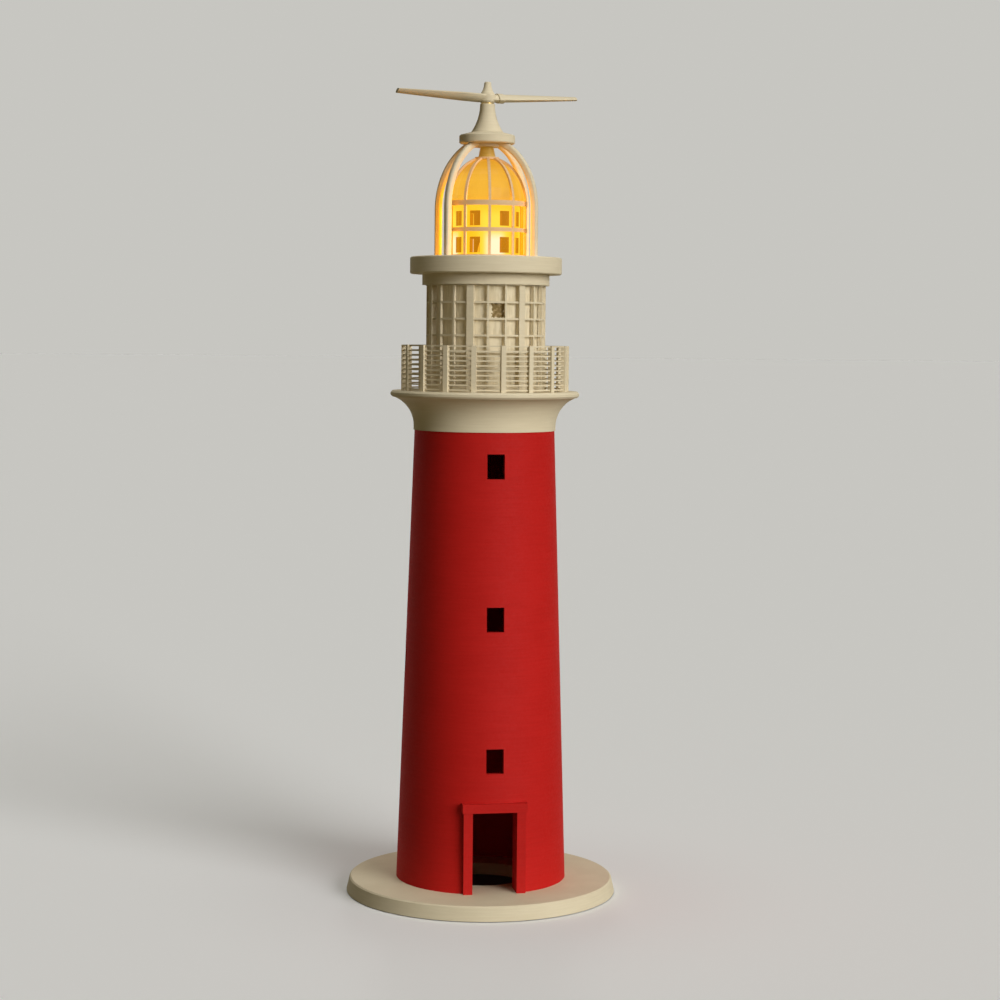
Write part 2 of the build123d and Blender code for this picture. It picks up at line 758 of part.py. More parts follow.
def rotor_blade_left():
    return Rot(0, 0, rotor_yaw + 180) * blade()


def rotor_sleeve():
    outline = blade_section(sleeve_start, blade_belly_chord, blade_root_thickness, sleeve_wall)
    sleeve = extrude(outline, sleeve_end - sleeve_start)
    return Rot(0, 0, rotor_yaw) * (sleeve - blade())


pieces = (
    foot_pad,
    base_plate,
    base_screws,
    tower_shell,
    door_surround,
    gallery_corbel,
    gallery_railing,
    watch_room_core,
    watch_room_glazing,
    lantern_deck,
    tealight_cup,
    tealight_flame,
    tealight_diode,
    tealight_board,
    tealight_cell,
    cell_contacts,
    tealight_base,
    battery_door,
    door_screw,
    tealight_switch,
    lantern_frame,
    lens_cage,
    lens_skin,
    lens_drum,
    cage_hub,
    roof_cap,
    rotor_axle,
    rotor_washer,
    rotor_hub,
    rotor_blade_left,
    rotor_blade_right,
    rotor_sleeve,
)

os.makedirs("parts", exist_ok=True)
for piece in pieces:
    export_step(piece(), f"parts/{piece.__name__}.step")
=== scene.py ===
import logging
import math
from dataclasses import dataclass
from enum import Enum
from typing import Protocol

import bpy
from mathutils import Matrix, Vector


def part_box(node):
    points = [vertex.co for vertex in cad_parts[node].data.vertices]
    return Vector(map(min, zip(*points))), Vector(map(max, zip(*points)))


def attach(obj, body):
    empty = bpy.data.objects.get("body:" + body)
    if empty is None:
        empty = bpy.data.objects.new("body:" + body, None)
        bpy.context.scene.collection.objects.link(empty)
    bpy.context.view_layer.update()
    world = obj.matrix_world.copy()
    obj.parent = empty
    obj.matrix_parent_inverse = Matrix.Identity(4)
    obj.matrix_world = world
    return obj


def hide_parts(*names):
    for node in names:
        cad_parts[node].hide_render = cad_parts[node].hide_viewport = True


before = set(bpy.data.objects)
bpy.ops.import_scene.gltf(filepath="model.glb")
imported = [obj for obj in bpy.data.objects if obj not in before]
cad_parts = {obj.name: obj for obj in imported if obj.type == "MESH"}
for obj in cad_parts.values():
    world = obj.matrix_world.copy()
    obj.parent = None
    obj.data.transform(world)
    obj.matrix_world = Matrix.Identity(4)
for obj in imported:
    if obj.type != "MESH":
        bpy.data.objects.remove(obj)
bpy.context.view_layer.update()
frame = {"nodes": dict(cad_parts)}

log = logging.getLogger("lighthouse_lamp")
Limits = tuple[float, float]
Triple = tuple[float, float, float]
Socket = bpy.types.NodeSocket
MM = 0.001
DARK: Triple = (0.0, 0.0, 0.0)


class Body(Enum):
    """CAD bodies that pieces ride on."""

    TOWER = "tower"
    SWITCH = "switch"
    LANTERN = "lantern"
    ROTOR = "rotor"


class Tint(Enum):
    """Linear colours of the lamp's finishes and of its stage."""

    RED = (0.530, 0.011, 0.008)
    RED_DEEP = (0.490, 0.009, 0.006)
    CREAM = (0.770, 0.672, 0.475)
    CREAM_DEEP = (0.725, 0.626, 0.434)
    PANE = (0.800, 0.702, 0.500)
    PANE_DEEP = (0.680, 0.582, 0.390)
    # Faint painted light on the watch room's panes, which are no lamp.
    PANE_PAINTED_LIGHT = (0.038, 0.031, 0.018)
    # Painted shade in the hole of the worn-through pane; the frayed edge uses the torn pane's own
    # colour.
    PANE_HOLE_SHADE = (0.240, 0.164, 0.062)
    PANE_TORN = (0.420, 0.310, 0.150)
    HUB = (0.460, 0.310, 0.090)
    HUB_DEEP = (0.360, 0.230, 0.055)
    # Painted glow on the hub, as if the lens lit it through; the hub is no lamp.
    HUB_PAINTED_GLOW = (0.150, 0.078, 0.006)
    CAGE = (0.580, 0.455, 0.300)
    CAGE_DEEP = (0.530, 0.405, 0.255)
    # Painted glow on the cage bars, as if the lens lit them; they are no lamp.
    CAGE_PAINTED_GLOW = (0.170, 0.070, 0.008)
    # Painted glow on the ribs' inner faces, where the lens's light falls; the ribs are no lamp.
    RIB_PAINTED_GLOW = (0.450, 0.165, 0.001)
    AMBER = (0.040, 0.016, 0.002)
    GLOW_DOME = (0.880, 0.455, 0.035)
    GLOW_CROWN = (0.640, 0.280, 0.020)
    GLOW_FOOT = (0.860, 0.450, 0.010)
    SPREAD_LIGHT = (6.500, 2.700, 0.020)
    SPREAD_CROWN = (1.300, 0.560, 0.020)
    DRUM_LIT = (0.955, 0.755, 0.070)
    DRUM_TOP = (0.930, 0.600, 0.030)
    DRUM_SIDE = (0.930, 0.560, 0.020)
    DRUM_HOT = (1.000, 0.970, 0.680)
    DRUM_INSIDE = (0.340, 0.126, 0.003)
    DRUM_BODY = (0.030, 0.014, 0.002)
    FLAME = (0.560, 0.250, 0.020)
    FLAME_EDGE = (0.380, 0.145, 0.006)
    DIODE = (1.000, 0.900, 0.520)
    WHITE = (0.780, 0.770, 0.740)
    STEEL = (0.560, 0.560, 0.550)
    STEEL_DARK = (0.350, 0.350, 0.345)
    BRASS = (0.700, 0.490, 0.160)
    BRASS_DARK = (0.460, 0.300, 0.090)
    BOARD = (0.025, 0.150, 0.050)
    BOARD_DARK = (0.015, 0.090, 0.030)
    FELT = (0.030, 0.029, 0.028)
    FELT_LIGHT = (0.060, 0.058, 0.055)
    BLACK = (0.020, 0.020, 0.020)
    FLOOR = (0.940, 0.935, 0.925)
    FLOOR_BOUNCE = (0.200, 0.165, 0.090)
    BACKDROP = (0.572, 0.5655, 0.534)
    SKY_FILL = (1.000, 0.900, 0.330)

    @property
    def opaque(self) -> tuple[float, float, float, float]:
        """The colour with full alpha, as a shader's socket takes it."""
        return (*self.value, 1.0)


class NodeMaker:
    """Adds and joins shader nodes in one tree."""

    def __init__(self, tree: bpy.types.NodeTree) -> None:
        """Keeps the tree that the nodes go into."""
        self.tree = tree

    def add(self, kind: str, **values: object) -> bpy.types.Node:
        """Adds a node and sets plain properties on it.

        Args:
            kind: the node's type name.
            values: property names with their values.

        Returns:
            The new node.
        """
        node = self.tree.nodes.new(kind)
        for name, value in values.items():
            setattr(node, name, value)
        return node

    def join(self, source: Socket, target: Socket) -> None:
        """Links an output to an input."""
        self.tree.links.new(source, target)

    def feed(self, target: Socket, value: Socket | float | Triple) -> None:
        """Links an output to an input, or sets a plain value on it.

        Args:
            target: the input.
            value: a socket, a number, a vector or a colour.
        """
        if isinstance(value, Socket):
            self.join(value, target)
        elif target.type == "RGBA":
            target.default_value = (*value, 1.0)
        else:
            target.default_value = value

    def math(
        self, operation: str, first: Socket | float, second: Socket | float | None = None
    ) -> Socket:
        """Adds a Math node.

        Args:
            operation: the node's operation.
            first: a socket or a number.
            second: a socket, a number or nothing.

        Returns:
            The result's socket.
        """
        node = self.add("ShaderNodeMath", operation=operation)
        for socket, value in zip(node.inputs, (first, second)):
            if value is not None:
                self.feed(socket, value)
        return node.outputs[0]

    def vector(
        self, operation: str, first: Socket, second: Socket | Triple | None = None
    ) -> bpy.types.Node:
        """Adds a Vector Math node.

        Args:
            operation: the node's operation.
            first: a vector's socket.
            second: a socket, a vector or nothing.

        Returns:
            The node, which has a vector and a number to read.
        """
        node = self.add("ShaderNodeVectorMath", operation=operation)
        self.join(first, node.inputs[0])
        if second is not None:
            self.feed(node.inputs[1], second)
        return node

    def blend(self, mask: Socket, low: Socket | Triple, high: Socket | Triple) -> Socket:
        """Mixes two colours by a mask.

        Args:
            mask: the mask's socket.
            low: colour where the mask is 0.
            high: colour where the mask is 1.

        Returns:
            The mixed colour's socket.
        """
        node = self.add("ShaderNodeMix", data_type="RGBA")
        self.join(mask, node.inputs["Factor"])
        colours = [socket for socket in node.inputs if socket.type == "RGBA"]
        for socket, value in zip(colours, (low, high)):
            self.feed(socket, value)
        return next(socket for socket in node.outputs if socket.type == "RGBA")

    def span(self, value: Socket, limits: Limits) -> Socket:
        """Maps a value to 0..1 between two limits, with eased ends.

        Args:
            value: the socket to map.
            limits: the values that give 0 and 1.

        Returns:
            The mapped value's socket.
        """
        node = self.add("ShaderNodeMapRange", interpolation_type="SMOOTHSTEP")
        self.join(value, node.inputs["Value"])
        node.inputs["From Min"].default_value, node.inputs["From Max"].default_value = limits
        return node.outputs[0]

    def ramp(
        self, value: Socket, start: tuple[Socket | float, Socket | float], result: Limits
    ) -> Socket:
        """Maps a value straight from one range to another.

        Args:
            value: the socket to map.
            start: the range that the value runs over.
            result: what the ends of that range become.

        Returns:
            The mapped value's socket.
        """
        node = self.add("ShaderNodeMapRange")
        self.join(value, node.inputs["Value"])
        names = ("From Min", "From Max", "To Min", "To Max")
        for name, limit in zip(names, (*start, *result)):
            self.feed(node.inputs[name], limit)
        return node.outputs[0]

    def place(self) -> Socket:
        """Gives Object coordinates."""
        return self.add("ShaderNodeTexCoord").outputs["Object"]

    def split(self, vector: Socket) -> tuple[Socket, ...]:
        """Takes a vector apart.

        Args:
            vector: the vector's socket.

        Returns:
            The sockets of X, Y and Z.
        """
        node = self.add("ShaderNodeSeparateXYZ")
        self.join(vector, node.inputs[0])
        return tuple(node.outputs)

    def stretched(self, place: Socket, scale: Triple) -> Socket:
        """Stretches a pattern.

        Args:
            place: coordinates.
            scale: factors along X, Y and Z.

        Returns:
            The new coordinates.
        """
        node = self.add("ShaderNodeMapping")
        node.inputs["Scale"].default_value = scale
        self.join(place, node.inputs["Vector"])
        return node.outputs[0]

    def noise(self, place: Socket, scale: Socket | float, detail: float = 2.0) -> Socket:
        """Adds a Noise texture.

        Args:
            place: coordinates.
            scale: how fine it is.
            detail: how many finer layers it has.

        Returns:
            The noise's value.
        """
        node = self.add("ShaderNodeTexNoise")
        self.join(place, node.inputs["Vector"])
        self.feed(node.inputs["Scale"], scale)
        node.inputs["Detail"].default_value = detail
        return node.outputs["Fac"]

    def bump(self, shader: bpy.types.Node, height: Socket, relief: float) -> None:
        """Gives a shader's surface a relief.

        Args:
            shader: the shader.
            height: the relief's pattern.
            relief: the relief's depth in metres.
        """
        node = self.add("ShaderNodeBump")
        node.inputs["Distance"].default_value = relief
        self.join(height, node.inputs["Height"])
        self.join(node.outputs[0], shader.inputs["Normal"])

    def group(self, shared: "SharedGroup") -> bpy.types.Node:
        """Places a shared node group."""
        return self.add("ShaderNodeGroup", node_tree=shared.tree())


@dataclass(frozen=True)
class SharedGroup:
    """Node group that several finishes place, built on first use."""

    name: str

    def tree(self) -> bpy.types.NodeTree:
        """Hands out the group's tree."""
        return bpy.data.node_groups.get(self.name) or self.build()

    def build(self) -> bpy.types.NodeTree:
        """Builds the group's tree; each group has its own."""
        raise NotImplementedError(self.name)

    def start(
        self, inputs: dict[str, float], outputs: tuple[str, ...]
    ) -> tuple[NodeMaker, bpy.types.Node, bpy.types.Node]:
        """Makes an empty tree with number sockets.

        Args:
            inputs: input names with their defaults.
            outputs: output names.

        Returns:
            The node maker, the tree's input node and its output node.
        """
        tree = bpy.data.node_groups.new(self.name, "ShaderNodeTree")
        number = "NodeSocketFloat"
        for name, value in inputs.items():
            socket = tree.interface.new_socket(name, in_out="INPUT", socket_type=number)
            socket.default_value = value
        for name in outputs:
            tree.interface.new_socket(name, in_out="OUTPUT", socket_type=number)
        maker = NodeMaker(tree)
        return maker, maker.add("NodeGroupInput"), maker.add("NodeGroupOutput")


@dataclass(frozen=True)
class PrintLayers(SharedGroup):
    """Layer lines of a printed piece: a relief, a tone mask and a sheen mask."""

    name: str = "print_layers"
    layer: float = 0.3 * MM
    grain: float = 900.0
    blotch: float = 45.0
    blotch_detail: float = 4.0
    streak: float = 1300.0
    streak_detail: float = 3.0
    streak_stretch: Triple = (0.05, 0.05, 1.0)
    ridge_height: float = 0.45
    grain_height: float = 0.35
    streak_height: float = 0.5
    streak_tone: float = 0.55
    blotch_tone: float = 0.45
    tone_limits: Limits = (0.36, 0.66)
    sheen_limits: Limits = (0.3, 0.7)

    def build(self) -> bpy.types.NodeTree:
        """Builds the group's tree.

        Returns:
            The tree.
        """
        inputs = {"Layer": self.layer, "Grain": self.grain, "Blotch": self.blotch}
        maker, entry, leave = self.start(inputs, ("Height", "Tone", "Sheen"))
        place = maker.place()
        _, _, rise = maker.split(place)
        turns = maker.math("DIVIDE", rise, entry.outputs["Layer"])
        wave = maker.math("SINE", maker.math("MULTIPLY", turns, math.pi))
        ridge = maker.math("ABSOLUTE", wave)
        grain = maker.noise(place, entry.outputs["Grain"])
        along = maker.stretched(place, self.streak_stretch)
        streak = maker.noise(along, self.streak, self.streak_detail)
        blotch = maker.noise(place, entry.outputs["Blotch"], self.blotch_detail)
        lines = maker.math("MULTIPLY", ridge, self.ridge_height)
        rough = maker.math("ADD", lines, maker.math("MULTIPLY", grain, self.grain_height))
        uneven = maker.math("MULTIPLY", streak, self.streak_height)
        banded = maker.math("MULTIPLY", streak, self.streak_tone)
        tone = maker.math("ADD", banded, maker.math("MULTIPLY", blotch, self.blotch_tone))
        maker.join(maker.math("ADD", rough, uneven), leave.inputs["Height"])
        maker.join(maker.span(tone, self.tone_limits), leave.inputs["Tone"])
        maker.join(maker.span(grain, self.sheen_limits), leave.inputs["Sheen"])
        return maker.tree


@dataclass(frozen=True)
class LampPlace(SharedGroup):
    """Place on the lamp: distance from the tower's axis and height above the table."""

    name: str = "lamp_place"

    def build(self) -> bpy.types.NodeTree:
        """Builds the group's tree.

        Returns:
            The tree.
        """
        maker, _, leave = self.start({}, ("Radius", "Height"))
        across, along, rise = maker.split(maker.place())
        squares = (maker.math("MULTIPLY", side, side) for side in (across, along))
        maker.join(maker.math("SQRT", maker.math("ADD", *squares)), leave.inputs["Radius"])
        maker.join(rise, leave.inputs["Height"])
        return maker.tree


@dataclass(frozen=True)
class LensFacing(SharedGroup):
    """How far a rib's face turns to the lit lens, as the mask of the ribs' painted glow: 0 on its
    outer face, 1 on its inner face, fading with height.
    """

    name: str = "lens_facing"
    bright: float = 345.0 * MM
    faint: float = 385.0 * MM
    turn_limits: Limits = (-0.6, 0.5)

    def build(self) -> bpy.types.NodeTree:
        """Builds the group's tree.

        Returns:
            The tree.
        """
        inputs = {"Bright": self.bright, "Faint": self.faint}
        maker, entry, leave = self.start(inputs, ("Mask",))
        coordinates = maker.add("ShaderNodeTexCoord").outputs
        flat = maker.vector("MULTIPLY", coordinates["Object"], (-1.0, -1.0, 0.0))
        inward = maker.vector("NORMALIZE", flat.outputs["Vector"])
        turned = maker.vector("DOT_PRODUCT", coordinates["Normal"], inward.outputs["Vector"])
        _, _, rise = maker.split(coordinates["Object"])
        heights = (entry.outputs["Bright"], entry.outputs["Faint"])
        fade = maker.ramp(rise, heights, (1.0, 0.0))
        facing = maker.span(turned.outputs["Value"], self.turn_limits)
        maker.join(maker.math("MULTIPLY", facing, fade), leave.inputs["Mask"])
        return maker.tree


@dataclass(frozen=True)
class MetalScratch(SharedGroup):
    """Fine scratches and stains of small metal pieces: a tone mask and a relief."""

    name: str = "metal_scratch"
    fineness: float = 700.0
    stretch: Triple = (1.0, 0.12, 0.4)
    tone_limits: Limits = (0.35, 0.65)

    def build(self) -> bpy.types.NodeTree:
        """Builds the group's tree.

        Returns:
            The tree.
        """
        maker, entry, leave = self.start({"Scale": self.fineness}, ("Tone", "Height"))
        along = maker.stretched(maker.place(), self.stretch)
        lines = maker.noise(along, entry.outputs["Scale"])
        maker.join(maker.span(lines, self.tone_limits), leave.inputs["Tone"])
        maker.join(lines, leave.inputs["Height"])
        return maker.tree


def new_material(name: str) -> tuple[bpy.types.Material, NodeMaker, bpy.types.Node]:
    """Makes a material with a Principled shader.

    Args:
        name: the material's name.

    Returns:
        The material, its node maker and its shader node.
    """
    material = bpy.data.materials.new(name)
    material.use_nodes = True
    maker = NodeMaker(material.node_tree)
    return material, maker, material.node_tree.nodes["Principled BSDF"]


def set_plain(shader: bpy.types.Node, values: dict[str, object]) -> None:
    """Sets what is the same all over a surface on the shader's own sockets.

    Args:
        shader: the shader.
        values: socket names with their values.
    """
    for name, value in values.items():
        shader.inputs[name].default_value = value


def ray_glow(maker: NodeMaker, seen: Socket, spread: Socket | Triple) -> Socket:
    """Shows one glow to the eye and throws a stronger one on the pieces around.

    Args:
        maker: the material's node maker.
        seen: colour that the eye sees.
        spread: colour of the light that reaches other pieces.

    Returns:
        The emission colour's socket.
    """
    rays = maker.add("ShaderNodeLightPath")
    return maker.blend(rays.outputs["Is Camera Ray"], spread, seen)


class Finish(Protocol):
    """What every finish has: a name, and a method that builds its material."""

    @property
    def name(self) -> str:
        """The material's name."""

    def material(self) -> bpy.types.Material:
        """Builds the material."""


@dataclass(frozen=True)
class PrintFinish:
    """Matte printed plastic with fine layer lines, and a painted glow where the lens would light
    it.
    """

    name: str
    tint: Tint
    deep: Tint
    layer: float = 0.3 * MM
    relief: float = 0.03 * MM
    roughness: Limits = (0.62, 0.76)
    gloss: float = 0.16
    painted_glow: Tint | None = None
    inward: bool = False

    def material(self) -> bpy.types.Material:
        """Builds the material.

        Returns:
            The material.
        """
        material, maker, shader = new_material(self.name)
        set_plain(shader, {"Specular IOR Level": self.gloss})
        # Painted glow: an emission that stands in for the lens's light on a piece that is no lamp.
        if self.painted_glow:
            set_plain(shader, {"Emission Color": self.painted_glow.opaque, "Emission Strength": 1.0})
        # With inward set, the painted glow falls only on faces turned to the lens.
        if self.painted_glow and self.inward:
            mask = maker.group(LensFacing()).outputs["Mask"]
            painted_inward_glow = maker.blend(mask, DARK, self.painted_glow.value)
            maker.join(painted_inward_glow, shader.inputs["Emission Color"])
        layers = maker.group(PrintLayers())
        layers.inputs["Layer"].default_value = self.layer
        tone = maker.blend(layers.outputs["Tone"], self.deep.value, self.tint.value)
        maker.join(tone, shader.inputs["Base Color"])
        sheen = maker.ramp(layers.outputs["Sheen"], (0.0, 1.0), self.roughness)
        maker.join(sheen, shader.inputs["Roughness"])
        maker.bump(shader, layers.outputs["Height"], self.relief)
        return material


@dataclass(frozen=True)
class MetalFinish:
    """Small plated or rolled metal piece."""

    name: str
    tint: Tint
    deep: Tint
    roughness: float = 0.34
    relief: float = 0.01 * MM

    def material(self) -> bpy.types.Material:
        """Builds the material.

        Returns:
            The material.
        """
        material, maker, shader = new_material(self.name)
        set_plain(shader, {"Metallic": 1.0, "Roughness": self.roughness})
        scratch = maker.group(MetalScratch())
        tone = maker.blend(scratch.outputs["Tone"], self.deep.value, self.tint.value)
        maker.join(tone, shader.inputs["Base Color"])
        maker.bump(shader, scratch.outputs["Height"], self.relief)
        return material


@dataclass(frozen=True)
class MouldedFinish:
    """Smooth moulded plastic, lacquer or felt with a fine mottle."""

    name: str
    tint: Tint
    deep: Tint
    roughness: float = 0.4
    grain: float = 1200.0
    relief: float = 0.01 * MM
    tone_limits: Limits = (0.3, 0.7)

    def material(self) -> bpy.types.Material:
        """Builds the material.

        Returns:
            The material.
        """
        material, maker, shader = new_material(self.name)
        set_plain(shader, {"Roughness": self.roughness})
        mottle = maker.noise(maker.place(), self.grain)
        mask = maker.span(mottle, self.tone_limits)
        tone = maker.blend(mask, self.deep.value, self.tint.value)
        maker.join(tone, shader.inputs["Base Color"])
        maker.bump(shader, mottle, self.relief)
        return material


@dataclass(frozen=True)
class LensFinish:
    """Amber skin: clear round the drum, glowing in its dome, brown on its far inner wall."""

    name: str = "amber_lens_skin"
    foot: float = 316.0 * MM
    spring: float = 340.5 * MM
    shoulder: float = 350.0 * MM
    crown: float = 364.0 * MM
    wall_middle: float = 18.48 * MM
    fill_limits: Limits = (338.5 * MM, 344.5 * MM)
    blotch: float = 75.0
    blotch_limits: Limits = (0.42, 0.68)
    blotch_share: float = 0.45
    crown_share: float = 0.75
    clear: float = 0.10
    full: float = 0.88
    rim: float = 0.35
    rim_blend: float = 0.35
    roughness: float = 0.42
    gloss: float = 0.2

    def glow(self, maker: NodeMaker, height: Socket) -> Socket:
        """Colours the dome from its springing to its crown, with soft blotches.

        Args:
            maker: the material's node maker.
            height: height above the table.

        Returns:
            The glow's colour.
        """
        risen = maker.span(height, (self.foot, self.spring))
        low = maker.blend(risen, Tint.GLOW_FOOT.value, Tint.GLOW_DOME.value)
        cloud = maker.noise(maker.place(), self.blotch)
        high = maker.span(height, (self.shoulder, self.crown))
        upper = maker.math("MULTIPLY", high, self.crown_share)
        patchy = maker.math("MULTIPLY", maker.span(cloud, self.blotch_limits), self.blotch_share)
        mask = maker.math("MINIMUM", maker.math("ADD", upper, patchy), 1.0)
        return maker.blend(mask, low, Tint.GLOW_CROWN.value)

    def cover(self, maker: NodeMaker, height: Socket, inner: Socket) -> Socket:
        """Says how much of the skin shows: little below the dome, and all of its far inner wall.

        Args:
            maker: the material's node maker.
            height: height above the table.
            inner: mask of the upright wall's inner face.

        Returns:
            The alpha's socket.
        """
        domed = maker.span(height, self.fill_limits)
        filled = maker.math("MULTIPLY", domed, self.full - self.clear)
        edge = maker.add("ShaderNodeLayerWeight")
        edge.inputs["Blend"].default_value = self.rim_blend
        grazing = maker.math("MULTIPLY", edge.outputs["Facing"], self.rim)
        body = maker.math("ADD", filled, self.clear)
        outer = maker.math("MINIMUM", maker.math("ADD", body, grazing), 1.0)
        behind = maker.add("ShaderNodeNewGeometry").outputs["Backfacing"]
        far = maker.math("MULTIPLY", inner, maker.math("SUBTRACT", 1.0, behind))
        rest = maker.math("MULTIPLY", maker.math("SUBTRACT", 1.0, inner), outer)
        return maker.math("ADD", far, rest)

    def material(self) -> bpy.types.Material:
        """Builds the material.

        Returns:
            The material.
        """
        material, maker, shader = new_material(self.name)
        set_plain(shader, {
            "Base Color": Tint.AMBER.opaque,
            "Roughness": self.roughness,
            "Specular IOR Level": self.gloss,
            "Emission Strength": 1.0,
        })
        place = maker.group(LampPlace()).outputs
        height = place["Height"]
        upright = maker.math("LESS_THAN", height, self.spring)
        within = maker.math("LESS_THAN", place["Radius"], self.wall_middle)
        inner = maker.math("MULTIPLY", upright, within)
        seen = maker.blend(inner, self.glow(maker, height), Tint.DRUM_INSIDE.value)
        high = maker.span(height, (self.spring, self.shoulder))
        spread = maker.blend(high, Tint.SPREAD_LIGHT.value, Tint.SPREAD_CROWN.value)
        maker.join(ray_glow(maker, seen, spread), shader.inputs["Emission Color"])
        maker.join(self.cover(maker, height, inner), shader.inputs["Alpha"])
        return material


@dataclass(frozen=True)
class DrumFinish:
    """Yellow diffuser drum, lit from inside, with a browner inner wall."""

    name: str = "lit_diffuser"
    skin: Limits = (15.95 * MM, 16.25 * MM)
    fade: Limits = (333.0 * MM, 339.5 * MM)
    side: Limits = (4.0 * MM, 11.0 * MM)
    hot_turn: float = 6.0
    hot_width: Limits = (6.4 * MM, 2.2 * MM)
    hot_rise: Limits = (328.5 * MM, 322.0 * MM)
    roughness: float = 0.6
    gloss: float = 0.1

    def sideways(self, maker: NodeMaker) -> Socket:
        """Measures how far a point lies beside the nearest bright spot.

        Args:
            maker: the material's node maker.

        Returns:
            The distance's socket.
        """
        turned = maker.add("ShaderNodeMapping")
        turned.inputs["Rotation"].default_value = (0.0, 0.0, math.radians(-self.hot_turn))
        maker.join(maker.place(), turned.inputs["Vector"])
        across, along, _ = maker.split(turned.outputs[0])
        reach = (maker.math("ABSOLUTE", side) for side in (across, along))
        return maker.math("MINIMUM", *reach)

    def material(self) -> bpy.types.Material:
        """Builds the material.

        Returns:
            The material.
        """
        material, maker, shader = new_material(self.name)
        set_plain(shader, {
            "Base Color": Tint.DRUM_BODY.opaque,
            "Roughness": self.roughness,
            "Specular IOR Level": self.gloss,
            "Emission Strength": 1.0,
        })
        place = maker.group(LampPlace()).outputs
        beside = self.sideways(maker)
        dimmed = maker.span(beside, self.side)
        wall = maker.blend(dimmed, Tint.DRUM_LIT.value, Tint.DRUM_SIDE.value)
        lit = maker.blend(maker.span(place["Height"], self.fade), wall, Tint.DRUM_TOP.value)
        near = maker.span(beside, self.hot_width)
        spot = maker.math("MULTIPLY", near, maker.span(place["Height"], self.hot_rise))
        hot = maker.blend(spot, lit, Tint.DRUM_HOT.value)
        outside = maker.span(place["Radius"], self.skin)
        seen = maker.blend(outside, Tint.DRUM_INSIDE.value, hot)
        glow = ray_glow(maker, seen, Tint.SPREAD_LIGHT.value)
        maker.join(glow, shader.inputs["Emission Color"])
        return material


@dataclass(frozen=True)
class FlameFinish:
    """Milky bulb with the diode's light in it."""

    name: str = "lit_flame_bulb"
    rise: Limits = (314.0 * MM, 328.3 * MM)
    roughness: float = 0.45

    def material(self) -> bpy.types.Material:
        """Builds the material.

        Returns:
            The material.
        """
        material, maker, shader = new_material(self.name)
        set_plain(shader, {
            "Base Color": Tint.DRUM_BODY.opaque,
            "Roughness": self.roughness,
            "Emission Strength": 1.0,
        })
        risen = maker.span(maker.group(LampPlace()).outputs["Height"], self.rise)
        colour = maker.blend(risen, Tint.FLAME.value, Tint.FLAME_EDGE.value)
        maker.join(colour, shader.inputs["Emission Color"])
        return material


@dataclass(frozen=True)
class PaneFinish:
    """Thin printed panes of the watch room: streaked, with a faint painted light, and one worn
    through with painted shade in its hole.
    """

    name: str = "thin_panes"
    streak: float = 620.0
    streak_detail: float = 3.0
    streak_stretch: Triple = (1.0, 1.0, 0.16)
    streak_limits: Limits = (0.38, 0.62)
    tear: float = 640.0
    tear_detail: float = 4.0
    tear_limits: Limits = (0.46, 0.64)
    gap_azimuth: float = 3.5
    gap_level: float = 288.6 * MM
    gap_size: Triple = (3.0 * MM, 12.0 * MM, 3.4 * MM)
    gap_limits: Limits = (1.56, 1.44)
    wall: float = 26.6 * MM
    roughness: float = 0.7
    gloss: float = 0.15
    relief: float = 0.06 * MM

    def gap(self, maker: NodeMaker, place: Socket, tear: Socket) -> Socket:
        """Marks the ragged patch where one pane is worn through.

        Args:
            maker: the material's node maker.
            place: Object coordinates.
            tear: noise that frays the patch's edge.

        Returns:
            The patch's mask.
        """
        turn = math.radians(self.gap_azimuth)
        middle = (self.wall * math.sin(turn), -self.wall * math.cos(turn), self.gap_level)
        offset = maker.vector("SUBTRACT", place, middle).outputs["Vector"]
        shrunk = maker.vector("DIVIDE", offset, self.gap_size).outputs["Vector"]
        reach = maker.vector("ABSOLUTE", shrunk).outputs["Vector"]
        across, along, rise = maker.split(reach)
        furthest = maker.math("MAXIMUM", maker.math("MAXIMUM", across, along), rise)
        return maker.span(maker.math("ADD", furthest, tear), self.gap_limits)

    def material(self) -> bpy.types.Material:
        """Builds the material.

        Returns:
            The material.
        """
        material, maker, shader = new_material(self.name)
        set_plain(shader, {
            "Roughness": self.roughness,
            "Specular IOR Level": self.gloss,
            "Emission Strength": 1.0,
        })
        place = maker.place()
        along = maker.stretched(place, self.streak_stretch)
        streak = maker.noise(along, self.streak, self.streak_detail)
        tear = maker.noise(place, self.tear, self.tear_detail)
        thin = maker.span(streak, self.streak_limits)
        pane = maker.blend(thin, Tint.PANE_DEEP.value, Tint.PANE.value)
        # The worn patch: a frayed edge in the torn pane's colour, round a middle painted dark as
        # shade in the hole.
        frayed = maker.span(tear, self.tear_limits)
        patch = maker.blend(frayed, Tint.PANE_HOLE_SHADE.value, Tint.PANE_TORN.value)
        gap = self.gap(maker, place, tear)
        maker.join(maker.blend(gap, pane, patch), shader.inputs["Base Color"])
        # Faint painted light on the panes, left out in the worn hole.
        glow = maker.blend(gap, Tint.PANE_PAINTED_LIGHT.value, DARK)
        maker.join(glow, shader.inputs["Emission Color"])
        layers = maker.group(PrintLayers())
        relief = maker.math("ADD", layers.outputs["Height"], streak)
        maker.bump(shader, relief, self.relief)
        return material


RED_PRINT = PrintFinish("red_print", Tint.RED, Tint.RED_DEEP)
CREAM_PRINT = PrintFinish("cream_print", Tint.CREAM, Tint.CREAM_DEEP)
# The ribs' emission is a painted glow on faces turned to the lens, fading with height.
RIB_PRINT = PrintFinish(
    "ribs_painted_glow", Tint.CREAM, Tint.CREAM_DEEP, painted_glow=Tint.RIB_PAINTED_GLOW, inward=True
)
# The cage's emission is a painted glow all over its bars.
CAGE_PRINT = PrintFinish("cage_painted_glow", Tint.CAGE, Tint.CAGE_DEEP, painted_glow=Tint.CAGE_PAINTED_GLOW)
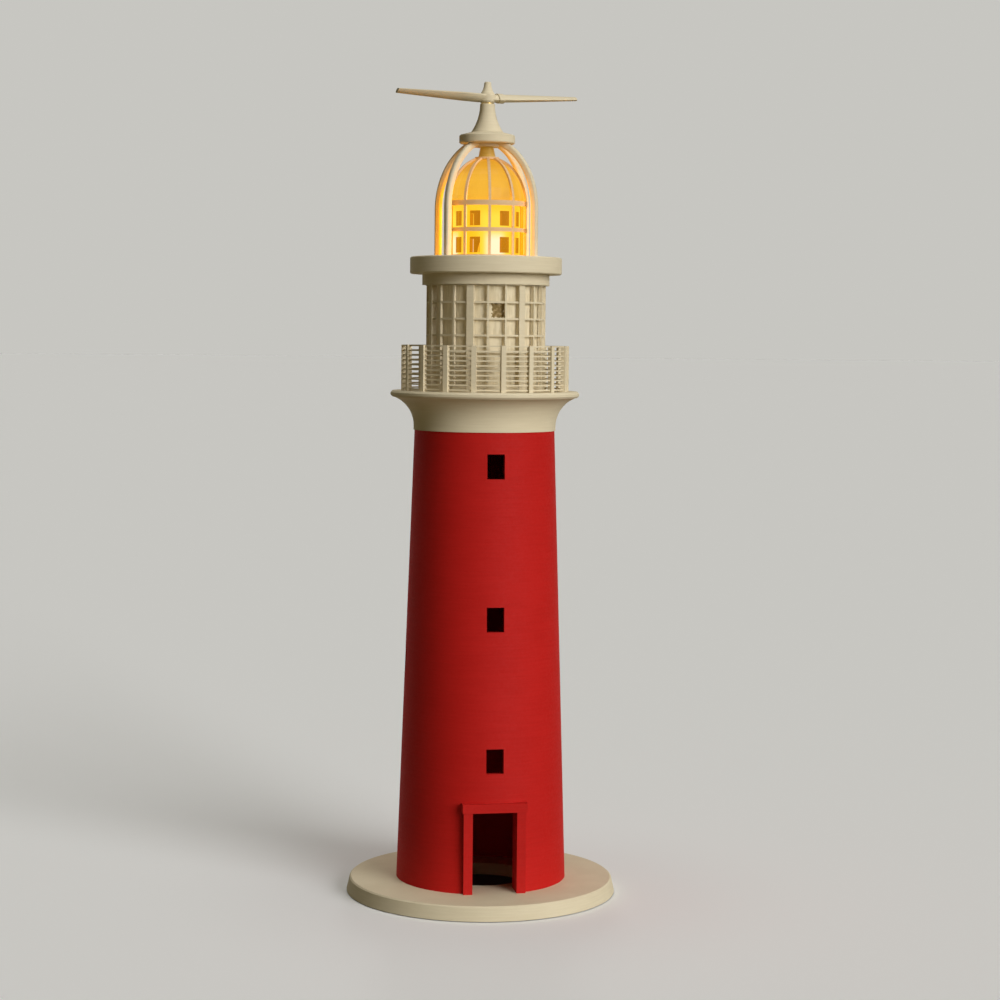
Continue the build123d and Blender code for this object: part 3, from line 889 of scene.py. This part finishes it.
# The hub's emission is a painted glow all over it.
HUB_PRINT = PrintFinish(
    "amber_hub", Tint.HUB, Tint.HUB_DEEP, roughness=(0.25, 0.4), painted_glow=Tint.HUB_PAINTED_GLOW
)
ZINC = MetalFinish("zinc_screw", Tint.STEEL, Tint.STEEL_DARK, 0.42)
STEEL = MetalFinish("bright_steel", Tint.STEEL, Tint.STEEL_DARK, 0.28)
BRASS = MetalFinish("contact_brass", Tint.BRASS, Tint.BRASS_DARK, 0.36)
WHITE_CASE = MouldedFinish("white_case", Tint.WHITE, Tint.CREAM, 0.38)
CLEAR_DIODE = MouldedFinish("clear_diode", Tint.DIODE, Tint.FLAME, 0.12)
BOARD = MouldedFinish("circuit_board", Tint.BOARD, Tint.BOARD_DARK, 0.3, 500.0)
FELT = MouldedFinish("dense_felt", Tint.FELT, Tint.FELT_LIGHT, 0.95, 2600.0, 0.2 * MM)
BLACK_KNOB = MouldedFinish("black_knob", Tint.BLACK, Tint.FELT, 0.5)


class Dresser:
    """Builds each finish once and gives it to CAD nodes and new pieces."""

    def __init__(self, nodes: dict[str, bpy.types.Object]) -> None:
        """Keeps the CAD nodes by name."""
        self.nodes = nodes
        self.made: dict[str, bpy.types.Material] = {}

    def material(self, finish: Finish) -> bpy.types.Material:
        """Hands out a finish's material.

        Args:
            finish: the finish.

        Returns:
            The material, built on first use.
        """
        if finish.name not in self.made:
            self.made[finish.name] = finish.material()
        return self.made[finish.name]

    def dress(self, finish: Finish, name: str) -> None:
        """Puts a finish on a CAD node.

        Args:
            finish: the finish.
            name: the node's name.
        """
        slots = self.nodes[name].data.materials
        slots.clear()
        slots.append(self.material(finish))


@dataclass
class SubAssembly:
    """Pieces of one body that are dressed together."""

    dresser: Dresser
    body: Body = Body.TOWER

    def paint(self, finish: Finish, *names: str) -> None:
        """Puts one finish on CAD nodes and reports each.

        Args:
            finish: the finish.
            names: the nodes' names.
        """
        for name in names:
            self.dresser.dress(finish, name)
            log.info("%s: dressed %s with %s", self.body.value, name, finish.name)


@dataclass
class Tower(SubAssembly):
    """Base, tower, doorway and gallery."""

    def build(self) -> None:
        """Dresses the base, tower and gallery."""
        self.paint(FELT, "foot_pad")
        self.paint(CREAM_PRINT, "base_plate", "gallery_corbel", "gallery_railing")
        self.paint(RED_PRINT, "tower_shell", "door_surround")
        self.paint(ZINC, "base_screws")


@dataclass
class WatchRoom(SubAssembly):
    """Glazed room and lantern deck above the gallery."""

    def build(self) -> None:
        """Dresses the watch room and the deck."""
        self.paint(CREAM_PRINT, "watch_room_glazing", "lantern_deck")
        self.paint(PaneFinish(), "watch_room_core")


@dataclass
class TeaLight(SubAssembly):
    """Battery tea light in the deck's well, with a turned flame bulb."""

    ring_points: int = 48
    bulb_wall: float = 0.6 * MM
    crease: float = 40.0
    outline: tuple[Limits, ...] = (
        (1.0, 0.065), (0.75, 0.075), (0.73, 0.14), (0.77, 0.26), (0.77, 0.36), (0.71, 0.50),
        (0.57, 0.66), (0.39, 0.81), (0.21, 0.92), (0.08, 0.985), (0.02, 1.0),
    )

    def turn_up(self, foot: float, rise: float) -> None:
        """Draws the flange's ring up to the tip, one ring at a time, in edit mode.

        Args:
            foot: height of the flange's underside.
            rise: height of the bulb.
        """
        width, level = 1.0, 0.0
        for next_width, next_level in self.outline:
            step = (0.0, 0.0, (next_level - level) * rise)
            bpy.ops.mesh.extrude_region_move(TRANSFORM_OT_translate={"value": step})
            ratio = next_width / width
            middle = (0.0, 0.0, foot + next_level * rise)
            bpy.ops.transform.resize(value=(ratio, ratio, 1.0), center_override=middle)
            width, level = next_width, next_level
        bpy.ops.mesh.merge(type="CENTER")

    def flame(self) -> None:
        """Models the hollow flame bulb in place of its plain CAD node."""
        low, high = (Vector(corner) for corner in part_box("tealight_flame"))
        flange = (high.x - low.x) / 2
        bpy.ops.object.select_all(action="DESELECT")
        bpy.ops.mesh.primitive_circle_add(
            vertices=self.ring_points, radius=flange, location=(0.0, 0.0, low.z)
        )
        bulb = bpy.context.object
        bulb.name = "flame_bulb"
        bpy.ops.object.transform_apply(location=True, rotation=True, scale=True)
        bpy.ops.object.mode_set(mode="EDIT")
        bpy.ops.mesh.select_all(action="SELECT")
        self.turn_up(low.z, high.z - low.z)
        bpy.ops.mesh.select_all(action="SELECT")
        bpy.ops.mesh.normals_make_consistent(inside=False)
        bpy.ops.object.mode_set(mode="OBJECT")
        wall = bulb.modifiers.new("wall", "SOLIDIFY")
        wall.thickness = self.bulb_wall
        wall.offset = -1.0
        bpy.ops.object.modifier_apply(modifier=wall.name)
        bpy.ops.object.shade_smooth_by_angle(angle=math.radians(self.crease))
        bulb.data.materials.append(self.dresser.material(FlameFinish()))
        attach(bulb, Body.TOWER.value)
        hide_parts("tealight_flame")
        log.info("%s: modelled %s", self.body.value, bulb.name)

    def build(self) -> None:
        """Models the flame bulb and dresses the tea light."""
        self.flame()
        self.paint(WHITE_CASE, "tealight_cup", "tealight_base", "battery_door")
        self.paint(FlameFinish(), "tealight_flame")
        self.paint(CLEAR_DIODE, "tealight_diode")
        self.paint(BOARD, "tealight_board")
        self.paint(STEEL, "tealight_cell")
        self.paint(BRASS, "cell_contacts")
        self.paint(ZINC, "door_screw")


@dataclass
class Switch(SubAssembly):
    """Slide switch under the tea light."""

    body: Body = Body.SWITCH

    def build(self) -> None:
        """Dresses the switch's knob."""
        self.paint(BLACK_KNOB, "tealight_switch")


@dataclass
class Lantern(SubAssembly):
    """Ribbed lantern with its lit lens."""

    body: Body = Body.LANTERN

    def build(self) -> None:
        """Dresses the ribs, the lens and the roof."""
        self.paint(RIB_PRINT, "lantern_frame")
        self.paint(CREAM_PRINT, "roof_cap")
        self.paint(CAGE_PRINT, "lens_cage")
        self.paint(HUB_PRINT, "cage_hub")
        self.paint(LensFinish(), "lens_skin")
        self.paint(DrumFinish(), "lens_drum")
        self.paint(STEEL, "rotor_axle")
        self.paint(BRASS, "rotor_washer")


@dataclass
class Rotor(SubAssembly):
    """Two blades on their hub above the roof."""

    body: Body = Body.ROTOR

    def build(self) -> None:
        """Dresses the rotor."""
        self.paint(CREAM_PRINT, "rotor_hub", "rotor_blade_left", "rotor_blade_right")
        self.paint(CREAM_PRINT, "rotor_sleeve")


@dataclass
class Studio:
    """Floor, lights and camera."""

    camera_azimuth: float = -9.5
    camera_distance: float = 1114.22 * MM
    camera_height: float = 275.51 * MM
    pan: float = 0.4112
    pitch: float = 4.1187
    roll: float = 0.5564
    focal_pixels: float = 2255.92
    frame_pixels: float = 1000.0
    sensor: float = 36.0
    floor_size: float = 60.0
    floor_roughness: float = 0.9
    lamp_distance: float = 2.0
    key_azimuth: float = 31.0
    key_height: float = 16.5
    key_softness: float = 36.0
    key_strength: float = 2.52
    top_height: float = 90.0
    top_softness: float = 46.0
    top_strength: float = 0.954
    back_azimuth: float = 170.0
    back_height: float = 5.0
    back_softness: float = 10.0
    back_strength: float = 1.1
    fill_strength: float = 0.048

    def seen_rays(self, maker: NodeMaker) -> Socket:
        """Marks the rays that show the plain background: straight, mirrored and through glass.

        Args:
            maker: node maker of the floor or the world.

        Returns:
            The mask's socket.
        """
        rays = maker.add("ShaderNodeLightPath").outputs
        mirrored = maker.math("MAXIMUM", rays["Is Glossy Ray"], rays["Is Transmission Ray"])
        return maker.math("MAXIMUM", rays["Is Camera Ray"], mirrored)

    def floor(self) -> None:
        """Lays the pale floor, which throws little light back on the lamp."""
        bpy.ops.object.select_all(action="DESELECT")
        bpy.ops.mesh.primitive_plane_add(size=self.floor_size)
        floor = bpy.context.object
        floor.name = "floor"
        material, maker, shader = new_material("pale_floor")
        set_plain(shader, {"Roughness": self.floor_roughness, "Specular IOR Level": 0.0})
        bounce, pale = Tint.FLOOR_BOUNCE.value, Tint.FLOOR.value
        tint = maker.blend(self.seen_rays(maker), bounce, pale)
        maker.join(tint, shader.inputs["Base Color"])
        floor.data.materials.append(material)

    def lamp(
        self, name: str, azimuth: float, height: float, softness: float, strength: float
    ) -> bpy.types.Object:
        """Adds a broad even lamp that shines on the tower's axis.

        Args:
            name: the lamp's name.
            azimuth: its side, in degrees from the door towards the right.
            height: its height above the table, in degrees.
            softness: width of its face as seen from the tower, in degrees.
            strength: its light on a face turned to it.

        Returns:
            The lamp's object.
        """
        data = bpy.data.lights.new(name, "SUN")
        data.energy = strength
        data.angle = math.radians(softness)
        lamp = bpy.data.objects.new(name, data)
        bpy.context.scene.collection.objects.link(lamp)
        turn, rise = math.radians(azimuth), math.radians(height)
        level = math.cos(rise)
        towards = Vector((math.sin(turn) * level, -math.cos(turn) * level, math.sin(rise)))
        lamp.location = towards * self.lamp_distance
        lamp.rotation_euler = towards.to_track_quat("Z", "Y").to_euler()
        return lamp

    def lights(self) -> None:
        """Sets a broad key from the right, weak lights from above and behind, and an even fill."""
        key = (self.key_azimuth, self.key_height, self.key_softness, self.key_strength)
        top = (self.key_azimuth, self.top_height, self.top_softness, self.top_strength)
        back = (self.back_azimuth, self.back_height, self.back_softness, self.back_strength)
        self.lamp("key", *key)
        self.lamp("top", *top)
        self.lamp("back", *back).visible_glossy = False
        world = bpy.data.worlds.new("studio")
        world.use_nodes = True
        bpy.context.scene.world = world
        maker = NodeMaker(world.node_tree)
        fill = tuple(part * self.fill_strength for part in Tint.SKY_FILL.value)
        sky = maker.blend(self.seen_rays(maker), fill, Tint.BACKDROP.value)
        maker.join(sky, world.node_tree.nodes["Background"].inputs["Color"])

    def camera(self) -> None:
        """Sets the camera at the photograph's viewing angle."""
        data = bpy.data.cameras.new("camera")
        data.sensor_width = self.sensor
        data.lens = self.focal_pixels * self.sensor / self.frame_pixels
        camera = bpy.data.objects.new("camera", data)
        bpy.context.scene.collection.objects.link(camera)
        turn = math.radians(self.camera_azimuth)
        look = Matrix.Rotation(turn - math.radians(self.pan), 4, "Z")
        look = look @ Matrix.Rotation(math.radians(90.0 - self.pitch), 4, "X")
        look = look @ Matrix.Rotation(math.radians(self.roll), 4, "Z")
        place = Vector((math.sin(turn), -math.cos(turn), 0.0)) * self.camera_distance
        place.z = self.camera_height
        camera.matrix_world = Matrix.Translation(place) @ look
        bpy.context.scene.camera = camera

    def build(self) -> None:
        """Builds the whole stage."""
        self.floor()
        self.lights()
        self.camera()
        bpy.context.scene.view_settings.view_transform = "Standard"


def main() -> None:
    """Builds and dresses the lamp part by part, and sets the studio."""
    logging.basicConfig(level=logging.INFO, format="%(message)s")
    dresser = Dresser(frame["nodes"])
    for part in (Tower, WatchRoom, TeaLight, Switch, Lantern, Rotor):
        part(dresser).build()
    Studio().build()


if __name__ == "__main__":
    main()
